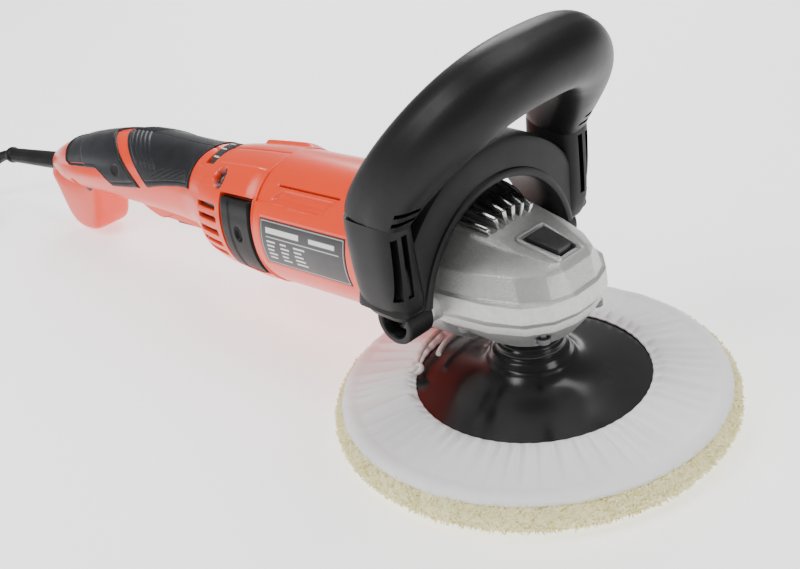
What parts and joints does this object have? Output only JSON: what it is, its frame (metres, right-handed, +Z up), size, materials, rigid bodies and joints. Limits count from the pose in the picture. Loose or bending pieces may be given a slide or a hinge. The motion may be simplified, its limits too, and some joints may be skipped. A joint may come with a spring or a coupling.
{
  "type": "rotary polisher",
  "caption": "Corded rotary polisher with a bevel gear head, D-handle, sprung trigger in the rear grip and a rubber backing pad under a tied wool bonnet.",
  "frame": {"origin": "on the spindle axis at the bonnet's flat working face", "axes": "+X out of the gear head's nose, away from the rear grip; +Z up along the spindle, away from the work; +Y to the operator's left"},
  "size_m": [0.6508, 0.2645, 0.199],
  "materials": {
    "cast": "satin cast",
    "steel": "machined",
    "dark_steel": "blackened",
    "bronze": "sintered",
    "orange_shell": "satin moulded",
    "black_shell": "satin moulded",
    "soft_grip": "soft-touch",
    "pad_rubber": "glossy",
    "cord_rubber": "matte",
    "wool": "pile",
    "cloth": "woven",
    "string": "braided",
    "label": "printed film",
    "lamination": "stacked sheet",
    "copper": "enamelled wire",
    "commutator": "copper segments",
    "carbon": "pressed carbon",
    "brass": "pressed",
    "board": "moulded",
    "nylon": "glass filled",
    "film": "dipped"
  },
  "bodies": {
    "machine": {"gear_housing": "cast", "bearing_cap": "cast", "lower_bearing": "steel", "dust_cover": "steel", "cap_screws": "dark_steel", "upper_bush": "bronze", "lock_spring": "steel", "head_screws": "dark_steel", "motor_housing": "orange_shell", "rating_plate": "label", "front_bearing": "steel", "rear_bearing": "steel", "baffle_ring": "nylon", "stator_core": "lamination", "field_coils": "copper", "brush_carrier": "nylon", "brush_holders": "brass", "carbon_brushes": "carbon", "brush_springs": "steel", "brush_cover_right": "black_shell", "brush_cover_left": "black_shell", "handle_right": "orange_shell", "handle_left": "orange_shell", "front_grip_right": "soft_grip", "front_grip_left": "soft_grip", "rear_grip_right": "soft_grip", "rear_grip_left": "soft_grip", "handle_screws": "dark_steel", "trigger_pin": "steel", "switch_body": "nylon", "speed_controller": "board", "capacitor": "film", "cord_clamp": "nylon", "strain_relief": "cord_rubber", "power_cord": "cord_rubber", "cord_coil": "cord_rubber", "cord_tail": "cord_rubber", "coil_tie": "nylon", "mains_plug": "black_shell", "d_handle_front": "black_shell", "d_handle_rear": "black_shell", "d_handle_bolts": "steel"},
    "armature": {"armature_shaft": "steel", "armature_core": "lamination", "armature_windings": "copper", "commutator": "commutator", "cooling_fan": "nylon", "pinion": "dark_steel", "pinion_nut": "dark_steel"},
    "spindle_group": {"spindle": "steel", "bevel_wheel": "dark_steel", "backing_pad": "pad_rubber", "pad_hub": "steel", "bonnet_wool": "wool", "bonnet_cloth": "cloth", "drawstring": "string"},
    "lock_button": {"spindle_lock_button": "black_shell"},
    "switch_lever": {"trigger": "black_shell"},
    "lock_on": {"lock_on_button": "black_shell"},
    "dial": {"speed_dial": "black_shell"}
  },
  "joints": [
    {"name": "spindle_spin", "type": "hinge", "parent": "machine", "child": "spindle_group", "pos_m": [0, 0, 0.05], "axis": [0, 0, 1], "continuous": true},
    {"name": "armature_spin", "type": "hinge", "parent": "machine", "child": "armature", "pos_m": [0, 0, 0.079], "axis": [0.9976, 0, 0.0698], "continuous": true},
    {"name": "trigger_pull", "type": "hinge", "parent": "machine", "child": "switch_lever", "pos_m": [-0.24442, 0, 0.04787], "axis": [0, 1, 0], "range_deg": [0, 6], "stiffness_Nm_per_rad": 0.6, "springref_deg": -14.32},
    {"name": "lock_on_press", "type": "slide", "parent": "machine", "child": "lock_on", "axis": [0, -1, 0], "range_m": [0, 0.0025], "stiffness_N_per_m": 300, "springref_m": -0.003},
    {"name": "spindle_lock_press", "type": "slide", "parent": "machine", "child": "lock_button", "axis": [0, 0, -1], "range_m": [0, 0.004], "stiffness_N_per_m": 900, "springref_m": -0.004},
    {"name": "speed_dial_turn", "type": "hinge", "parent": "machine", "child": "dial", "pos_m": [-0.21741, 0, 0.07733], "axis": [0.9976, 0, 0.0698], "range_deg": [-140, 140]}
  ],
  "couplings": [
    {"joint": "armature_spin", "follows": "spindle_spin", "ratio": -3.8}
  ]
}
